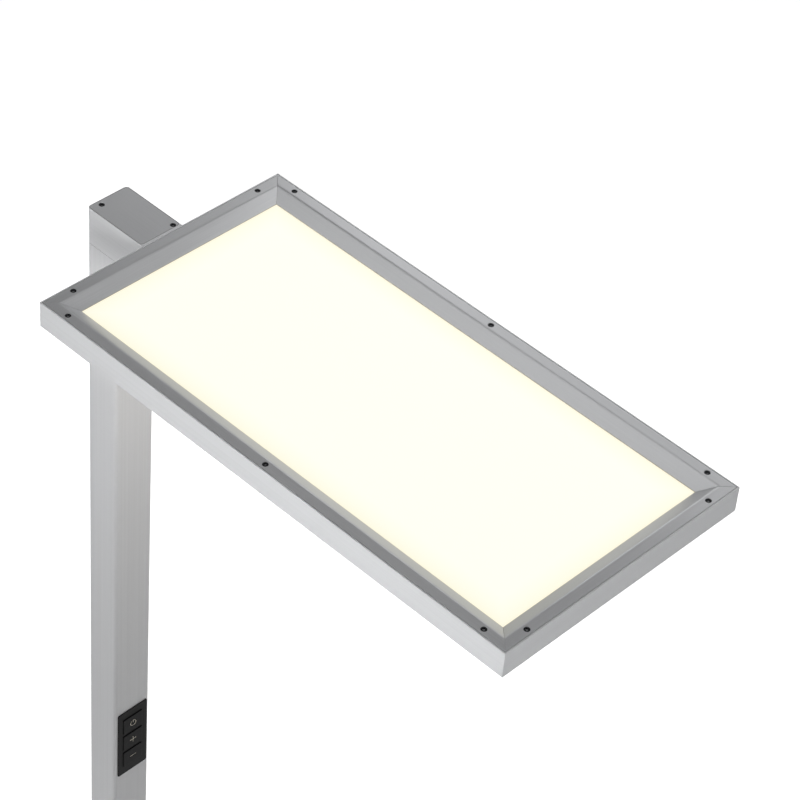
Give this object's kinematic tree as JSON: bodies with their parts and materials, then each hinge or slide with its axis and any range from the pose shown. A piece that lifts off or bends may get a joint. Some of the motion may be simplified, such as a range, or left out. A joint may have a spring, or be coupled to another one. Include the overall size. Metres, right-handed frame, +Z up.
{
  "type": "office floor lamp",
  "caption": "Standing office lamp: a flat rectangular head lit above and below, on an arm box and a rectangular column with a steel base plate and a panel of push keys.",
  "frame": {"origin": "on the floor, in the middle of the glide pad under the column's axis", "axes": "+Z up along the column, +X from the column to the head's free end, +Y across the head, to the left when looking from the column along the head"},
  "size_m": [0.767, 0.322, 1.95],
  "materials": {
    "satin_aluminium": "satin anodised, fine brushed grain",
    "frame_aluminium": "satin anodised, fine brushed grain, a shade darker",
    "raw_aluminium": "mill finish",
    "base_steel": "silver grey powder coat",
    "screw_steel": "blackened",
    "pad_rubber": "matt",
    "black_nylon": "moulded, matt",
    "panel_black": "moulded, satin",
    "key_black": "moulded, satin",
    "ivory_plastic": "moulded",
    "driver_case": "moulded, white",
    "wire_sheath": "extruded sheath",
    "board_green": "solder mask",
    "board_white": "white solder mask",
    "reflector_white": "matt film",
    "clear_acrylic": "clear, polished",
    "opal_diffuser": "opal acrylic, lit"
  },
  "bodies": {
    "stand": {"base_plate": "base_steel", "glide_pads": "pad_rubber", "foot_block": "raw_aluminium", "foot_screws": "screw_steel", "foot_set_screws": "screw_steel", "column": "satin_aluminium", "cord_gland": "black_nylon", "gland_locknut": "black_nylon", "mains_terminal": "ivory_plastic", "mains_wire": "wire_sheath", "driver_carrier": "raw_aluminium", "led_driver": "driver_case", "carrier_screws": "screw_steel", "control_wire": "wire_sheath", "control_bezel": "panel_black", "key_switches": "black_nylon", "control_board": "board_green", "board_screws": "screw_steel", "column_spigot": "raw_aluminium", "spigot_bolts": "screw_steel", "spigot_set_screws": "screw_steel", "arm_body": "satin_aluminium", "arm_cover": "frame_aluminium", "cover_screws": "screw_steel", "arm_head_bolts": "screw_steel", "head_nuts": "screw_steel", "grommets": "pad_rubber", "head_leads": "wire_sheath", "lead_connectors": "ivory_plastic", "strip_leads": "wire_sheath", "head_wall_near": "satin_aluminium", "head_wall_end": "satin_aluminium", "head_wall_far": "satin_aluminium", "head_wall_column": "satin_aluminium", "top_bar_near": "frame_aluminium", "top_bar_end": "frame_aluminium", "top_bar_far": "frame_aluminium", "top_bar_column": "frame_aluminium", "bottom_bar_near": "frame_aluminium", "bottom_bar_end": "frame_aluminium", "bottom_bar_far": "frame_aluminium", "bottom_bar_column": "frame_aluminium", "top_screws": "screw_steel", "bottom_screws": "screw_steel", "corner_brackets": "raw_aluminium", "chassis_plate": "raw_aluminium", "reflector_sheets": "reflector_white", "light_guides": "clear_acrylic", "led_rails": "raw_aluminium", "led_strips": "board_white", "top_diffuser": "opal_diffuser", "bottom_diffuser": "opal_diffuser"},
    "on_off_key": {"key_on_off": "key_black"},
    "brighter_key": {"key_brighter": "key_black"},
    "dimmer_key": {"key_dimmer": "key_black"}
  },
  "joints": [
    {"name": "press_on_off", "type": "slide", "parent": "stand", "child": "on_off_key", "axis": [-1, 0, 0], "range_m": [0, 0.0012], "stiffness_N_per_m": 900, "springref_m": -0.002},
    {"name": "press_brighter", "type": "slide", "parent": "stand", "child": "brighter_key", "axis": [-1, 0, 0], "range_m": [0, 0.0012], "stiffness_N_per_m": 900, "springref_m": -0.002},
    {"name": "press_dimmer", "type": "slide", "parent": "stand", "child": "dimmer_key", "axis": [-1, 0, 0], "range_m": [0, 0.0012], "stiffness_N_per_m": 900, "springref_m": -0.002}
  ]
}
